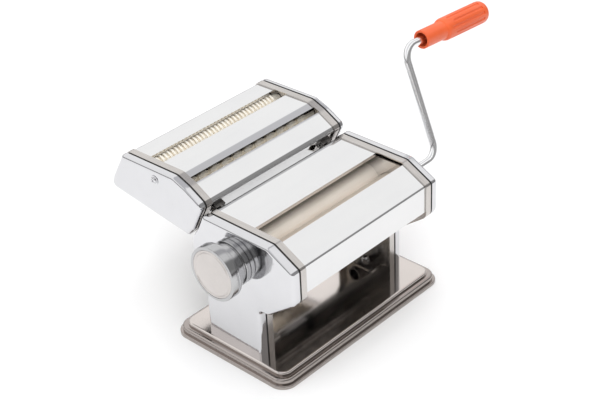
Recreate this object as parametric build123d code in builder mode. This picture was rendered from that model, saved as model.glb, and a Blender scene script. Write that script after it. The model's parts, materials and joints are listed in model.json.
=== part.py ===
from build123d import *
import math
import os

# Pasta roller machine with a clip-on cutter head and a removable crank.
# Frame: X runs along the rollers with the crank at +X, +Y is the back, where the
# cutter head hangs, and Z is up from the middle of the base. Sizes in millimetres.

os.makedirs("parts", exist_ok=True)

# ---------------------------------------------------------------- base tray
base_length = 200.0
base_width = 126.4
base_height = 11.0
base_corner = 13.0
flange_height = 3.0
shoulder_height = 8.0
shoulder_inset = 2.0
plateau_inset = 6.5
tray_wall = 1.5
foot_radius = 9.0
foot_inset = 24.0
screw_radius = 1.95
screw_clearance = 0.15
screw_end = 3.5
screw_head_radius = 3.8
screw_head_height = 2.0
nut_radius = 3.6
nut_height = 2.2
nut_dome_radius = 2.9
nut_dome_height = 1.9

# ---------------------------------------------------------------- side frames and caps
cap_outer = 88.0
cap_wall = 1.0
cap_edge_radius = 3.2
seam_outer = 79.4
frame_outer = 79.0
frame_wall = 1.0
collar_inner = 73.0
leg_front = -28.0
leg_rear = 32.0
leg_foot_inner = 58.0
leg_foot_thickness = 1.2
leg_foot_margin = 8.0
leg_screw_inset = 23.5
leg_screw_x = 68.0
head_top = 123.0
head_front = -67.5
head_rear = 44.0

# ---------------------------------------------------------------- hoods
hood_wall = 1.0
hood_clearance = 0.1
feed_slot_front = -43.0
feed_slot_rear = -14.0
hood_lip = 2.4
front_hood_bottom = 84.5
rear_hood_bottom = 64.0

# ---------------------------------------------------------------- smooth rollers
roller_radius = 12.0
roller_gap = 0.8
roller_half = 77.4
roller_axis_z = 95.0
rear_roller_y = -3.9
journal_radius = 5.0
running_clearance = 0.05
shaft_hole_clearance = 0.4
gap_travel = 2.2
gear_near = 82.8
gear_far = 86.2
gear_teeth = 12
gear_addendum = 2.0
gear_dedendum = 2.6
gear_tooth_module = 2.0667
gear_backlash = 0.35

# ---------------------------------------------------------------- gap regulator
slide_near = 79.4
slide_far = 81.9
cam_near = 82.6
cam_far = 85.6
cam_radius = 13.0
cam_groove_radius = 8.0
cam_groove_depth = 1.8
cam_turn = 280.0
follower_radius = 1.5
follower_clearance = 0.15
follower_end_gap = 0.4
regulator_shaft_radius = 4.0
regulator_shaft_end = 106.0
knob_gap = 0.2
knob_pull = 5.0
knob_ring_radius = 19.5
knob_disc_radius = 23.6
knob_disc_back = 102.0
knob_face = 111.75
knob_insert_radius = 20.8
knob_insert_depth = 1.4
knob_pocket_radius = 7.6
knob_skirt_bore = 17.0
spring_wire = 0.45
spring_height = 3.0
spring_pitch = 1.2
spring_radius = 5.6

# ---------------------------------------------------------------- crank
crank_radius = 3.5
socket_clearance = 0.08
socket_depth = 12.0
socket_mouth = 88.6
socket_slot_depth = 4.0
crank_pin_radius = 1.1
crank_pin_length = 9.2
crank_pin_slot = 2.6
crank_plane = 137.0
crank_elbow_y = 8.0
crank_elbow_z = 187.0
crank_bend = 13.0
grip_droop = 3.5
grip_start = 161.0
grip_length = 87.0
grip_collar_radius = 8.3
grip_body_radius = 10.2
grip_collar_length = 28.0
grip_flutes = 8
grip_bore_clearance = 0.08

# ---------------------------------------------------------------- cutter head
cutter_cap_outer = 86.0
cutter_radius = 9.6
cutter_core = 7.4
cutter_centres = 17.4
cutter_half = 77.4
cutter_journal = 5.2
cutter_gear_near = 80.6
cutter_gear_far = 83.8
cutter_socket_mouth = 86.4
fine_nip_y = 94.5
fine_axis_z = 130.6
wide_front_y = 50.1
wide_front_z = 124.8
wide_tilt = 25.0
fine_pitch = 4.2
fine_strip = 2.0
fine_discs = 33
wide_pitch = 13.0
wide_strip = 6.35
wide_discs = 11
fine_slot_front = 87.0
fine_slot_rear = 102.0
wide_slot_front = 49.5
wide_slot_rear = 55.5

# ---------------------------------------------------------------- derived places
roller_centres = 2 * roller_radius + roller_gap
front_roller_y = rear_roller_y - roller_centres
gear_module = roller_centres / gear_teeth
bore_radius = journal_radius + running_clearance
socket_radius = crank_radius + socket_clearance
hood_half = frame_outer - frame_wall - hood_clearance
tray_top = base_height
leg_middle = (leg_front + leg_rear) / 2
leg_screw_front = leg_front + leg_screw_inset
leg_screw_rear = leg_rear - leg_screw_inset / 2
foot_spots = [(sx * leg_screw_x, y) for sx in (-1, 1) for y in (leg_screw_front, leg_screw_rear)]
frame_plate_inner = frame_outer - frame_wall
wide_rear_y = wide_front_y + cutter_centres * math.cos(math.radians(wide_tilt))
wide_rear_z = wide_front_z + cutter_centres * math.sin(math.radians(wide_tilt))
fine_front_y = fine_nip_y - cutter_centres / 2
fine_rear_y = fine_nip_y + cutter_centres / 2

# Corners of the side outline as (Y, Z), each with its rounding radius.
head_corners = [
    (29.0, head_top, 3.4),
    (-42.0, head_top, 5.0),
    (head_front, 109.5, 4.0),
    (head_front, 79.5, 9.0),
    (-38.0, 57.0, 9.0),
    (leg_front, 56.5, 4.0),
    (leg_front, tray_top, 0.0),
    (leg_rear, tray_top, 0.0),
    (leg_rear, 57.0, 6.0),
    (head_rear, 83.0, 8.0),
    (head_rear, 96.5, 5.0),
    (35.5, 109.0, 20.0),
]
cutter_corners = [
    (122.5, 143.8, 3.4),
    (62.0, 145.0, 8.0),
    (48.5, 139.8, 25.0),
    (33.0, 131.0, 4.0),
    (30.8, 127.0, 3.4),
    (33.5, 121.5, 3.4),
    (43.0, 102.6, 8.0),
    (49.5, 95.0, 3.5),
    (136.5, 107.2, 5.0),
    (139.8, 111.5, 3.4),
    (137.0, 118.6, 4.0),
    (125.0, 139.4, 6.0),
]


def station(side, near, far):
    """Lower X of a slab that lies between two distances from the middle plane."""
    return min(side * near, side * far)


def outline(corners, inset=0.0):
    """The side outline, drawn in its own plane and moved inwards by the inset."""
    with BuildSketch() as shape:
        with BuildLine():
            FilletPolyline(*[(y, z) for y, z, _ in corners], radius=[r for _, _, r in corners], close=True)
        make_face()
        if inset:
            offset(amount=-inset, kind=Kind.INTERSECTION)
    return shape.sketch


def finish(part, name):
    """Name a finished piece and write it out."""
    part.label = name
    export_step(part, f"parts/{name}.step")


# ---------------------------------------------------------------- base
with BuildPart() as base_tray:
    levels = [
        (0.0, flange_height, 0.0, 1.0),
        (flange_height, shoulder_height, shoulder_inset, 2.2),
        (shoulder_height, tray_top, plateau_inset, 1.8),
    ]
    for low, high, inset, round_over in levels:
        with BuildSketch(Plane.XY.offset(low)):
            RectangleRounded(base_length - 2 * inset, base_width - 2 * inset, base_corner - 0.6 * inset)
        extrude(amount=high - low)
        fillet(faces().sort_by(Axis.Z)[-1].edges(), round_over)
    for low, high, inset, _ in levels:
        hollow = inset + tray_wall
        floor = max(low - tray_wall, 0)
        with BuildSketch(Plane.XY.offset(floor)):
            RectangleRounded(base_length - 2 * hollow, base_width - 2 * hollow, base_corner - 0.6 * hollow)
        extrude(amount=high - tray_wall - floor, mode=Mode.SUBTRACT)
    with BuildSketch(Plane.XY.offset(tray_top)):
        with Locations(*foot_spots):
            Circle(screw_radius + screw_clearance)
    extrude(amount=-tray_wall, mode=Mode.SUBTRACT)
finish(base_tray.part, "base_tray")

with BuildPart() as rubber_feet:
    with BuildSketch():
        with GridLocations(base_length - 2 * foot_inset, base_width - 2 * foot_inset, 2, 2):
            Circle(foot_radius)
    extrude(amount=tray_top - tray_wall)
    fillet(edges().group_by(Axis.Z)[0], 0.3)
finish(rubber_feet.part, "rubber_feet")

# ---------------------------------------------------------------- side caps
clamp_y = 2.0
clamp_z = 24.0
clamp_radius = 5.0
clamp_tube_radius = 6.5
clamp_tube_near = 60.0
clamp_tube_proud = 0.4
cap_hole_clearance = 0.1
bush_flange_radius = 7.0
bush_step = 1.5


def side_cap(side, corners, outer, holes):
    """A pressed pan over one end, with a rounded outer edge and round holes."""
    with BuildPart() as cap:
        with BuildSketch(Plane.YZ.offset(station(side, seam_outer, outer))):
            add(outline(corners))
        extrude(amount=outer - seam_outer)
        face_edges = faces().sort_by(Axis.X)[-1 if side > 0 else 0].edges()
        floor_edges = face_edges.filter_by(lambda e: e.center().Z < tray_top + 0.01)
        fillet(face_edges - floor_edges, cap_edge_radius)
        with BuildSketch(Plane.YZ.offset(station(side, seam_outer, outer - cap_wall))):
            add(outline(corners, cap_wall))
        extrude(amount=outer - cap_wall - seam_outer, mode=Mode.SUBTRACT)
        for y, z, radius in holes:
            with BuildSketch(Plane.YZ.offset(station(side, outer - 2 * cap_wall, outer + cap_wall))):
                with Locations((y, z)):
                    Circle(radius)
            extrude(amount=3 * cap_wall, mode=Mode.SUBTRACT)
    return cap.part


left_bush_hole = (rear_roller_y, roller_axis_z, bush_flange_radius - bush_step)
left_side_cap = side_cap(-1, head_corners, cap_outer, [left_bush_hole])
finish(left_side_cap, "left_side_cap")
right_holes = [
    (front_roller_y, roller_axis_z, journal_radius + shaft_hole_clearance),
    (clamp_y, clamp_z, clamp_tube_radius + cap_hole_clearance),
]
right_side_cap = side_cap(1, head_corners, cap_outer, right_holes)
finish(right_side_cap, "right_side_cap")

# ---------------------------------------------------------------- side frames
slide_front = -16.5
slide_rear = 19.5
slide_bottom = 69.0
slide_top = 108.0
guide_strip = 3.0
guide_strip_gap = 0.3
tie_bar_y = 13.5
tie_bar_z = 75.0
tie_bar_radius = 3.0
front_bush_radius = 8.0
rod_nut_radius = 4.6
rod_nut_height = 2.0
rod_spots = [(-46.0, 75.0), (34.0, 90.0), (2.0, 62.0)]
rod_radius = 3.0


def side_frame(side, corners, round_holes, slots):
    """An end plate whose flange follows the outline and carries the hood edges."""
    with BuildPart() as frame:
        with BuildSketch(Plane.YZ.offset(station(side, collar_inner, frame_outer))):
            add(outline(corners))
        extrude(amount=frame_outer - collar_inner)
        with BuildSketch(Plane.YZ.offset(station(side, collar_inner, frame_plate_inner))):
            add(outline(corners, frame_wall))
        extrude(amount=frame_plate_inner - collar_inner, mode=Mode.SUBTRACT)
        for y, z, radius in round_holes:
            with BuildSketch(Plane.YZ.offset(station(side, frame_plate_inner, frame_outer))):
                with Locations((y, z)):
                    Circle(radius)
            extrude(amount=frame_wall, mode=Mode.SUBTRACT)
        for y, z, radius in slots:
            with BuildSketch(Plane.YZ.offset(station(side, frame_plate_inner, frame_outer))):
                with Locations((y + gap_travel / 2, z)):
                    SlotCenterToCenter(gap_travel, 2 * radius)
            extrude(amount=frame_wall, mode=Mode.SUBTRACT)
        if corners is head_corners:
            with BuildSketch(Plane.XY.offset(tray_top)):
                with Locations((side * (frame_plate_inner + leg_foot_inner) / 2, leg_middle)):
                    foot_depth = leg_rear - leg_front - 2 * leg_foot_margin
                    Rectangle(frame_plate_inner - leg_foot_inner, foot_depth)
                with Locations(*[(side * leg_screw_x, y) for y in (leg_screw_front, leg_screw_rear)]):
                    Circle(screw_radius + screw_clearance, mode=Mode.SUBTRACT)
            extrude(amount=leg_foot_thickness)
    return frame.part


rod_holes = [(y, z, rod_radius) for y, z in rod_spots]
roller_slot = (rear_roller_y, roller_axis_z, journal_radius + shaft_hole_clearance)
tie_bar_slot = (tie_bar_y, tie_bar_z, tie_bar_radius + shaft_hole_clearance)
moving_slots = [roller_slot, tie_bar_slot]
bush_hole = [(front_roller_y, roller_axis_z, front_bush_radius - bush_step)]
left_side_frame = side_frame(-1, head_corners, rod_holes + bush_hole, moving_slots)
finish(left_side_frame, "left_side_frame")
clamp_hole = [(clamp_y, clamp_z, clamp_tube_radius)]
right_side_frame = side_frame(1, head_corners, rod_holes + bush_hole + clamp_hole, moving_slots)
finish(right_side_frame, "right_side_frame")

nut_seat = tray_top + leg_foot_thickness
nut_top = nut_seat + nut_height
screw_seat = tray_top - tray_wall
with BuildPart() as base_screws:
    for low, high, radius in [
        (screw_end, nut_seat, screw_radius),
        (nut_top, nut_top + nut_dome_height, nut_dome_radius),
        (screw_seat - screw_head_height, screw_seat, screw_head_radius),
    ]:
        with BuildSketch(Plane.XY.offset(low)):
            with Locations(*foot_spots):
                Circle(radius)
        extrude(amount=high - low)
    fillet(faces().filter_by(Plane.XY).group_by(Axis.Z)[-1].edges(), 0.9 * nut_dome_height)
    with BuildSketch(Plane.XY.offset(nut_seat)):
        with Locations(*foot_spots):
            RegularPolygon(nut_radius, 6)
    extrude(amount=nut_height)
finish(base_screws.part, "base_screws")

with BuildPart() as clamp_socket:
    with BuildSketch(Plane.YZ.offset(clamp_tube_near)):
        with Locations((clamp_y, clamp_z)):
            Circle(clamp_tube_radius)
            Circle(clamp_radius, mode=Mode.SUBTRACT)
    extrude(amount=cap_outer + clamp_tube_proud - clamp_tube_near)
finish(clamp_socket.part, "clamp_socket")

with BuildPart() as tie_rods:
    with BuildSketch(Plane.YZ.offset(-frame_outer)):
        with Locations(*rod_spots):
            Circle(rod_radius)
    extrude(amount=2 * frame_outer)
finish(tie_rods.part, "tie_rods")

with BuildPart() as tie_rod_nuts:
    for side in (-1, 1):
        with BuildSketch(Plane.YZ.offset(station(side, frame_outer, frame_outer + rod_nut_height))):
            with Locations(*rod_spots):
                RegularPolygon(rod_nut_radius, 6)
        extrude(amount=rod_nut_height)
finish(tie_rod_nuts.part, "tie_rod_nuts")


# ---------------------------------------------------------------- hoods
def hood(corners, half, y_low, y_high, z_low, lips):
    """Sheet between the end plates: a stretch of the outline, with a turned-down lip."""
    skin = frame_wall + hood_clearance
    with BuildPart() as sheet:
        with BuildSketch(Plane.YZ.offset(-half)):
            add(outline(corners, skin))
            add(outline(corners, skin + hood_wall), mode=Mode.SUBTRACT)
            with Locations(((y_low + y_high) / 2, z_low + 100.0)):
                Rectangle(y_high - y_low, 200.0, mode=Mode.INTERSECT)
            for y, z, width, height in lips:
                with Locations((y, z)):
                    Rectangle(width, height)
        extrude(amount=2 * half)
    return sheet.part


def lip(y_edge, into, surface, depth=hood_lip):
    """Place and size of the rolled edge that hangs under a slot edge."""
    return (y_edge + into * hood_wall / 2, surface - depth / 2, hood_wall, depth)


main_skin = head_top - frame_wall - hood_clearance - hood_wall / 2
rear_lips = [lip(feed_slot_rear, 1, main_skin)]
rear_hood = hood(head_corners, hood_half, feed_slot_rear, 60.0, rear_hood_bottom, rear_lips)
finish(rear_hood, "rear_hood")
front_slot_drop = 1.0
front_lips = [lip(feed_slot_front, -1, main_skin - front_slot_drop)]
front_lip_middle = head_front + frame_wall + hood_clearance + 2.4
front_lips.append((front_lip_middle, front_hood_bottom + hood_wall / 2, 4.8, hood_wall))
front_hood = hood(head_corners, hood_half, -90.0, feed_slot_front, front_hood_bottom, front_lips)
finish(front_hood, "front_hood")

# ---------------------------------------------------------------- dough guides between the roller ends
guide_near = 73.6
guide_top = 118.4
guide_thickness = 1.4
guide_clearance = 0.5
with BuildPart() as dough_guides:
    for side in (-1, 1):
        with BuildSketch(Plane.YZ.offset(station(side, guide_near, guide_near + guide_thickness))):
            with BuildLine():
                Polyline(
                    (feed_slot_front + 2.0, guide_top),
                    (feed_slot_front + 4.5, 101.0),
                    (front_roller_y, roller_axis_z),
                    (rear_roller_y - gap_travel, roller_axis_z),
                    (8.5, 104.0),
                    (8.5, guide_top),
                    close=True,
                )
            make_face()
            with Locations((front_roller_y, roller_axis_z)):
                Circle(roller_radius + guide_clearance, mode=Mode.SUBTRACT)
            with Locations((rear_roller_y + gap_travel / 2, roller_axis_z)):
                SlotCenterToCenter(gap_travel, 2 * (roller_radius + guide_clearance), mode=Mode.SUBTRACT)
        extrude(amount=guide_thickness)
finish(dough_guides.part, "dough_guides")


# ---------------------------------------------------------------- smooth rollers
with BuildPart() as drive_roller:
    with BuildSketch(Plane.YZ.offset(-roller_half)):
        with Locations((front_roller_y, roller_axis_z)):
            Circle(roller_radius)
    extrude(amount=2 * roller_half)
    chamfer(edges().filter_by(GeomType.CIRCLE), 0.5)
    with BuildSketch(Plane.YZ.offset(-slide_far)):
        with Locations((front_roller_y, roller_axis_z)):
            Circle(journal_radius)
    extrude(amount=slide_far + socket_mouth)
    with BuildSketch(Plane.YZ.offset(socket_mouth - socket_depth)):
        with Locations((front_roller_y, roller_axis_z)):
            Circle(socket_radius)
    extrude(amount=socket_depth, mode=Mode.SUBTRACT)
    with BuildSketch(Plane.YZ.offset(socket_mouth - socket_slot_depth)):
        with Locations((front_roller_y, roller_axis_z)):
            Rectangle(crank_pin_slot, 4 * journal_radius)
    extrude(amount=socket_slot_depth, mode=Mode.SUBTRACT)
finish(drive_roller.part, "drive_roller")

with BuildPart() as adjustable_roller:
    with BuildSketch(Plane.YZ.offset(-roller_half)):
        with Locations((rear_roller_y, roller_axis_z)):
            Circle(roller_radius)
    extrude(amount=2 * roller_half)
    chamfer(edges().filter_by(GeomType.CIRCLE), 0.5)
    with BuildSketch(Plane.YZ.offset(-slide_far)):
        with Locations((rear_roller_y, roller_axis_z)):
            Circle(journal_radius)
    extrude(amount=slide_far + gear_far)
finish(adjustable_roller.part, "adjustable_roller")

with BuildPart() as drive_roller_bushes:
    for side in (-1, 1):
        with BuildSketch(Plane.YZ.offset(station(side, frame_plate_inner, frame_outer))):
            with Locations((front_roller_y, roller_axis_z)):
                Circle(front_bush_radius - bush_step)
                Circle(bore_radius, mode=Mode.SUBTRACT)
        extrude(amount=frame_wall)
        with BuildSketch(Plane.YZ.offset(station(side, frame_outer, slide_far))):
            with Locations((front_roller_y, roller_axis_z)):
                Circle(front_bush_radius)
                Circle(bore_radius, mode=Mode.SUBTRACT)
        extrude(amount=slide_far - frame_outer)
finish(drive_roller_bushes.part, "drive_roller_bushes")


# ---------------------------------------------------------------- gears
def gear(y, z, near, far, module, bore, phase):
    """Spur gear with involute flanks, thinned so that a spread pair still turns."""
    pitch = module * gear_teeth / 2
    base_circle = pitch * math.cos(math.radians(20))
    tip = pitch + gear_addendum * module / gear_tooth_module
    root = pitch - gear_dedendum * module / gear_tooth_module

    def flank_angle(radius):
        roll = math.sqrt(max((radius / base_circle) ** 2 - 1, 0))
        return roll - math.atan(roll)

    half_tooth = math.pi / (2 * gear_teeth) - gear_backlash / (2 * pitch) + flank_angle(pitch)
    radii = [max(base_circle, root) + (tip - max(base_circle, root)) * i / 4 for i in range(5)]
    with BuildPart() as wheel:
        with BuildSketch(Plane.YZ.offset(near)):
            with Locations((y, z)):
                Circle(root)
            for tooth in range(gear_teeth):
                middle = math.radians(phase) + 2 * math.pi * tooth / gear_teeth
                rising = [(r, middle - half_tooth + flank_angle(r)) for r in radii]
                falling = [(r, 2 * middle - a) for r, a in reversed(rising)]
                foot = root - 0.5
                ring = [(foot, rising[0][1])] + rising + falling + [(foot, falling[-1][1])]
                with BuildLine():
                    Polyline([(y + r * math.cos(a), z + r * math.sin(a)) for r, a in ring], close=True)
                make_face()
            with Locations((y, z)):
                Circle(bore, mode=Mode.SUBTRACT)
        extrude(amount=far - near)
    return wheel.part


drive_gear = gear(front_roller_y, roller_axis_z, gear_near, gear_far, gear_module, journal_radius, 0)
finish(drive_gear, "drive_gear")
adjustable_gear = gear(rear_roller_y, roller_axis_z, gear_near, gear_far, gear_module, journal_radius, 15)
finish(adjustable_gear, "adjustable_gear")


# ---------------------------------------------------------------- roller slides and their tie bar
def roller_slide(side):
    """Plate that carries one end of the adjustable roller and shifts along Y."""
    with BuildPart() as plate:
        with BuildSketch(Plane.YZ.offset(station(side, slide_near, slide_far))):
            with Locations(((slide_front + slide_rear) / 2, (slide_bottom + slide_top) / 2)):
                RectangleRounded(slide_rear - slide_front, slide_top - slide_bottom, 2.0)
            with Locations((rear_roller_y, roller_axis_z)):
                Circle(bore_radius, mode=Mode.SUBTRACT)
            with Locations((tie_bar_y, tie_bar_z)):
                Circle(tie_bar_radius, mode=Mode.SUBTRACT)
        extrude(amount=slide_far - slide_near)
        if side < 0:
            follower_end = cam_near + cam_groove_depth - follower_end_gap
            with BuildSketch(Plane.YZ.offset(-follower_end)):
                with Locations((rear_roller_y + cam_groove_radius, roller_axis_z)):
                    Circle(follower_radius)
            extrude(amount=follower_end - slide_far)
    return plate.part


finish(roller_slide(-1), "left_roller_slide")
finish(roller_slide(1), "right_roller_slide")

with BuildPart() as slide_guides:
    for side in (-1, 1):
        with BuildSketch(Plane.YZ.offset(station(side, frame_outer, slide_far))):
            reach = guide_strip_gap + guide_strip / 2
            for z in (slide_bottom - reach, slide_top + reach):
                with Locations(((slide_front + slide_rear) / 2, z)):
                    Rectangle(slide_rear - slide_front - 2.0, guide_strip)
            with Locations(*rod_spots):
                Circle(rod_nut_radius + 1.0, mode=Mode.SUBTRACT)
        extrude(amount=slide_far - frame_outer)
finish(slide_guides.part, "slide_guides")

with BuildPart() as carrier_tie_bar:
    with BuildSketch(Plane.YZ.offset(-slide_far)):
        with Locations((tie_bar_y, tie_bar_z)):
            Circle(tie_bar_radius)
    extrude(amount=2 * slide_far)
finish(carrier_tie_bar.part, "carrier_tie_bar")


# ---------------------------------------------------------------- scrapers under the rollers
def scraper(centre_y, contact_angle, anchor_y, anchor_z, anchor_radius):
    """Thin blade from its rod up to a line just clear of the roller."""
    reach = roller_radius + 0.4
    tip_y = centre_y + reach * math.cos(math.radians(contact_angle))
    tip_z = roller_axis_z + reach * math.sin(math.radians(contact_angle))
    length = math.dist((tip_y, tip_z), (anchor_y, anchor_z))
    along = ((tip_y - anchor_y) / length, (tip_z - anchor_z) / length)
    across = (-along[1] * 0.5, along[0] * 0.5)
    start = (anchor_y + along[0] * anchor_radius * 0.98, anchor_z + along[1] * anchor_radius * 0.98)
    with BuildPart() as blade:
        with BuildSketch(Plane.YZ.offset(-hood_half + 1.0)):
            with BuildLine():
                Polyline(
                    (start[0] - across[0], start[1] - across[1]),
                    (tip_y - across[0], tip_z - across[1]),
                    (tip_y + across[0], tip_z + across[1]),
                    (start[0] + across[0], start[1] + across[1]),
                    close=True,
                )
            make_face()
            with Locations((anchor_y, anchor_z)):
                Circle(anchor_radius, mode=Mode.SUBTRACT)
        extrude(amount=2 * (hood_half - 1.0))
    return blade.part


finish(scraper(front_roller_y, -125, *rod_spots[0], rod_radius), "front_scraper")
finish(scraper(rear_roller_y, -60, tie_bar_y, tie_bar_z, tie_bar_radius), "rear_scraper")

# ---------------------------------------------------------------- gap regulator
with BuildPart() as regulator_shaft:
    with BuildSketch(Plane.YZ.offset(-regulator_shaft_end)):
        with Locations((rear_roller_y, roller_axis_z)):
            Circle(regulator_shaft_radius)
    extrude(amount=regulator_shaft_end - cam_near)
finish(regulator_shaft.part, "regulator_shaft")

with BuildPart() as regulator_cam:
    with BuildSketch(Plane.YZ.offset(-cam_far)):
        with Locations((rear_roller_y, roller_axis_z)):
            Circle(cam_radius)
            Circle(regulator_shaft_radius, mode=Mode.SUBTRACT)
    extrude(amount=cam_far - cam_near)
    groove_width = 2 * (follower_radius + follower_clearance)
    cam_steps = 28
    scroll = []
    for i in range(cam_steps + 1):
        turned = i / cam_steps
        radius = cam_groove_radius + gap_travel * turned
        angle = -math.radians(cam_turn * turned)
        scroll.append((rear_roller_y + radius * math.cos(angle), roller_axis_z + radius * math.sin(angle)))
    with BuildSketch(Plane.YZ.offset(-cam_near - cam_groove_depth)):
        with BuildLine() as scroll_line:
            Spline(*scroll)
        trace(scroll_line.line, groove_width)
        with Locations(scroll[0], scroll[-1]):
            Circle(groove_width / 2)
    extrude(amount=cam_groove_depth, mode=Mode.SUBTRACT)
finish(regulator_cam.part, "regulator_cam")

with BuildPart() as regulator_bush:
    with BuildSketch(Plane.YZ.offset(-cap_outer)):
        with Locations((rear_roller_y, roller_axis_z)):
            Circle(bush_flange_radius - bush_step)
            Circle(regulator_shaft_radius + running_clearance, mode=Mode.SUBTRACT)
    extrude(amount=cap_wall)
    with BuildSketch(Plane.YZ.offset(-cap_outer - 2.0)):
        with Locations((rear_roller_y, roller_axis_z)):
            Circle(bush_flange_radius)
            Circle(regulator_shaft_radius + running_clearance, mode=Mode.SUBTRACT)
    extrude(amount=2.0)
finish(regulator_bush.part, "regulator_bush")

index_pin_orbit = 13.0
index_ring_face = cap_outer + 2.0
with BuildPart() as index_ring:
    with BuildSketch(Plane.YZ.offset(-index_ring_face)):
        with Locations((rear_roller_y, roller_axis_z)):
            Circle(16.4)
            Circle(9.6, mode=Mode.SUBTRACT)
    extrude(amount=2.0)
    with BuildSketch(Plane.YZ.offset(-index_ring_face)):
        with Locations((rear_roller_y, roller_axis_z)):
            Circle(index_pin_orbit + 1.6)
            Circle(index_pin_orbit - 1.6, mode=Mode.SUBTRACT)
    extrude(amount=1.0, mode=Mode.SUBTRACT)
    with BuildSketch(Plane.YZ.offset(-index_ring_face + 1.0)):
        with Locations((rear_roller_y, roller_axis_z)):
            with PolarLocations(index_pin_orbit, 9, start_angle=90, angular_range=cam_turn, endpoint=True):
                Circle(1.4)
    extrude(amount=0.6, mode=Mode.SUBTRACT)
finish(index_ring.part, "index_ring")

knob_inner_x = cap_outer + knob_gap
pocket_floor = regulator_shaft_end - spring_height - knob_pull - 1.0
with BuildPart() as regulator_knob:
    with BuildSketch(Plane.YZ.offset(-knob_face)):
        with Locations((rear_roller_y, roller_axis_z)):
            Circle(knob_disc_radius)
    extrude(amount=knob_face - knob_disc_back)
    fillet(edges().filter_by(GeomType.CIRCLE), 0.9)
    for near, far, radius in [(knob_inner_x, 92.4, knob_ring_radius), (92.4, 94.4, 17.0),
                              (94.4, 99.6, 18.6), (99.6, knob_disc_back + 0.5, 17.2)]:
        with BuildSketch(Plane.YZ.offset(-far)):
            with Locations((rear_roller_y, roller_axis_z)):
                Circle(radius)
        extrude(amount=far - near)
    with BuildSketch(Plane.YZ.offset(-knob_face)):
        with Locations((rear_roller_y, roller_axis_z)):
            Circle(knob_insert_radius)
    extrude(amount=knob_insert_depth, mode=Mode.SUBTRACT)
    with BuildSketch(Plane.YZ.offset(-knob_face)):
        with Locations((rear_roller_y, roller_axis_z)):
            Circle(knob_pocket_radius)
    extrude(amount=knob_face - pocket_floor, mode=Mode.SUBTRACT)
    with BuildSketch(Plane.YZ.offset(-pocket_floor)):
        with Locations((rear_roller_y, roller_axis_z)):
            Circle(regulator_shaft_radius + running_clearance)
    extrude(amount=pocket_floor - knob_inner_x, mode=Mode.SUBTRACT)
    with BuildSketch(Plane.YZ.offset(-index_ring_face - 0.6)):
        with Locations((rear_roller_y, roller_axis_z)):
            Circle(17.0)
    extrude(amount=index_ring_face + 0.6 - knob_inner_x, mode=Mode.SUBTRACT)
finish(regulator_knob.part, "regulator_knob")

with BuildPart() as knob_insert:
    with BuildSketch(Plane.YZ.offset(-knob_face)):
        with Locations((rear_roller_y, roller_axis_z)):
            Circle(knob_insert_radius)
    extrude(amount=knob_insert_depth)
finish(knob_insert.part, "knob_insert")

with BuildPart() as index_pin:
    with BuildSketch(Plane.YZ.offset(-index_ring_face - 0.6)):
        with Locations((rear_roller_y, roller_axis_z + index_pin_orbit)):
            Circle(1.2)
    extrude(amount=1.4)
finish(index_pin.part, "index_pin")

with BuildPart() as shaft_end_washer:
    with BuildSketch(Plane.YZ.offset(-regulator_shaft_end - 1.2)):
        with Locations((rear_roller_y, roller_axis_z)):
            Circle(6.9)
    extrude(amount=1.2)
finish(shaft_end_washer.part, "shaft_end_washer")

with BuildPart() as knob_spring:
    with BuildLine():
        coil = Helix(
            pitch=spring_pitch,
            height=spring_height - 2 * spring_wire,
            radius=spring_radius,
            center=(-regulator_shaft_end + spring_wire, rear_roller_y, roller_axis_z),
            direction=(1, 0, 0),
        )
    with BuildSketch(Plane(origin=coil @ 0, z_dir=coil % 0)):
        Circle(spring_wire)
    sweep(is_frenet=True)
finish(knob_spring.part, "knob_spring")

# ---------------------------------------------------------------- crank and grip
droop = math.radians(grip_droop)
grip_axis = Vector(math.cos(droop), 0, -math.sin(droop))
elbow = Vector(crank_plane, crank_elbow_y, crank_elbow_z)


def along_grip(x):
    """Point of the grip's axis at a given X."""
    return elbow + grip_axis * ((x - crank_plane) / math.cos(droop))


crank_pin_x = socket_mouth - 2.4
rod_inner_end = socket_mouth - socket_depth + 0.6
rod_outer_end = grip_start + grip_length - 9.0
with BuildPart() as crank_rod:
    with BuildLine() as rod_line:
        FilletPolyline(
            (rod_inner_end, front_roller_y, roller_axis_z),
            (crank_plane, front_roller_y, roller_axis_z),
            elbow,
            along_grip(rod_outer_end),
            radius=crank_bend,
        )
    with BuildSketch(Plane(origin=rod_line.line @ 0, z_dir=rod_line.line % 0)):
        Circle(crank_radius)
    sweep()
    with BuildSketch(Plane.XY.offset(roller_axis_z - crank_pin_length / 2)):
        with Locations((crank_pin_x, front_roller_y)):
            Circle(crank_pin_radius)
    extrude(amount=crank_pin_length, mode=Mode.SUBTRACT)
finish(crank_rod.part, "crank_rod")

with BuildPart() as crank_pin:
    with BuildSketch(Plane.XY.offset(roller_axis_z - crank_pin_length / 2)):
        with Locations((crank_pin_x, front_roller_y)):
            Circle(crank_pin_radius)
    extrude(amount=crank_pin_length)
finish(crank_pin.part, "crank_pin")

grip_plane = Plane(origin=along_grip(grip_start), x_dir=(0, 1, 0), z_dir=grip_axis)
retainer_start = (rod_outer_end - grip_start) / math.cos(droop)
with BuildPart() as grip_retainer:
    with BuildSketch(grip_plane.offset(retainer_start)):
        Circle(5.2)
    extrude(amount=1.6)
finish(grip_retainer.part, "grip_retainer")

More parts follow.
